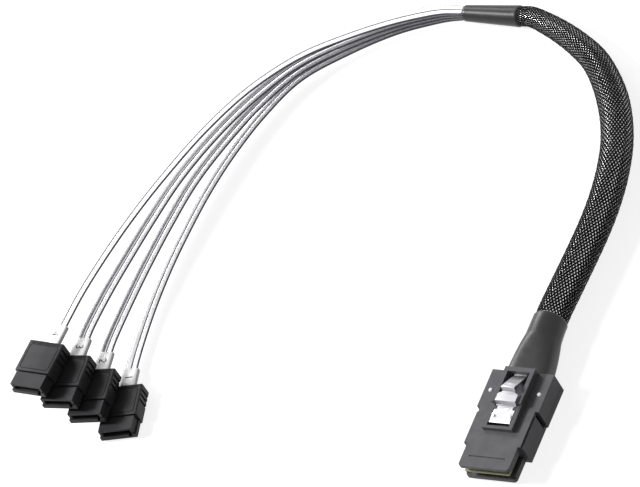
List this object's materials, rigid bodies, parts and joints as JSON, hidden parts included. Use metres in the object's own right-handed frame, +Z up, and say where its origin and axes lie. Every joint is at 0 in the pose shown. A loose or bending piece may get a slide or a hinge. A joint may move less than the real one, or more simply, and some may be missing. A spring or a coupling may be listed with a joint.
{
  "type": "mini sas breakout cable",
  "caption": "Wide host plug with a sprung metal latch, braided sleeve, and flat ribbon cables that fan out to small drive plugs stacked like stairs.",
  "frame": {"origin": "under the middle of the host plug, on the surface that the cable lies on", "axes": "+Y from the host plug's nose back along its cable, +X to the plug's right seen from behind it with the latch up, +Z up"},
  "size_m": [0.1951, 0.1924, 0.0245],
  "materials": {
    "host_plastic": "matte mid grey",
    "host_plastic_dark": "matte dark grey",
    "spring_steel": "bright brushed sheet",
    "card_laminate": "yellow green laminate with gold contact pads",
    "black_mould": "glossy black moulding",
    "contact_gold": "gold plated",
    "shrink_tube": "satin dark grey shrink tube",
    "braid": "black expandable braid",
    "ribbon_jacket": "clear jacket over silver foil",
    "label_film": "white film"
  },
  "bodies": {
    "cable": {"host_plug_top_shell": "host_plastic", "host_plug_bottom_shell": "host_plastic_dark", "paddle_card": "card_laminate", "wire_block": "black_mould", "rivet_left": "spring_steel", "rivet_right": "spring_steel", "boot": "shrink_tube", "sleeve": "braid", "collar": "shrink_tube", "ribbon_1": "ribbon_jacket", "ribbon_2": "ribbon_jacket", "ribbon_3": "ribbon_jacket", "ribbon_4": "ribbon_jacket", "label_1": "label_film", "label_2": "label_film", "label_3": "label_film", "label_4": "label_film", "drive_plug_1_overmould": "black_mould", "drive_plug_1_housing": "black_mould", "drive_plug_1_contacts": "contact_gold", "drive_plug_2_overmould": "black_mould", "drive_plug_2_housing": "black_mould", "drive_plug_2_contacts": "contact_gold", "drive_plug_3_overmould": "black_mould", "drive_plug_3_housing": "black_mould", "drive_plug_3_contacts": "contact_gold", "drive_plug_4_overmould": "black_mould", "drive_plug_4_housing": "black_mould", "drive_plug_4_contacts": "contact_gold"},
    "latch": {"latch": "spring_steel"}
  },
  "joints": [
    {"name": "latch_press", "type": "hinge", "parent": "cable", "child": "latch", "pos_m": [0, 0.01835, 0.0094], "axis": [1, 0, 0], "range_deg": [0, 4.2], "stiffness_Nm_per_rad": 0.2}
  ]
}
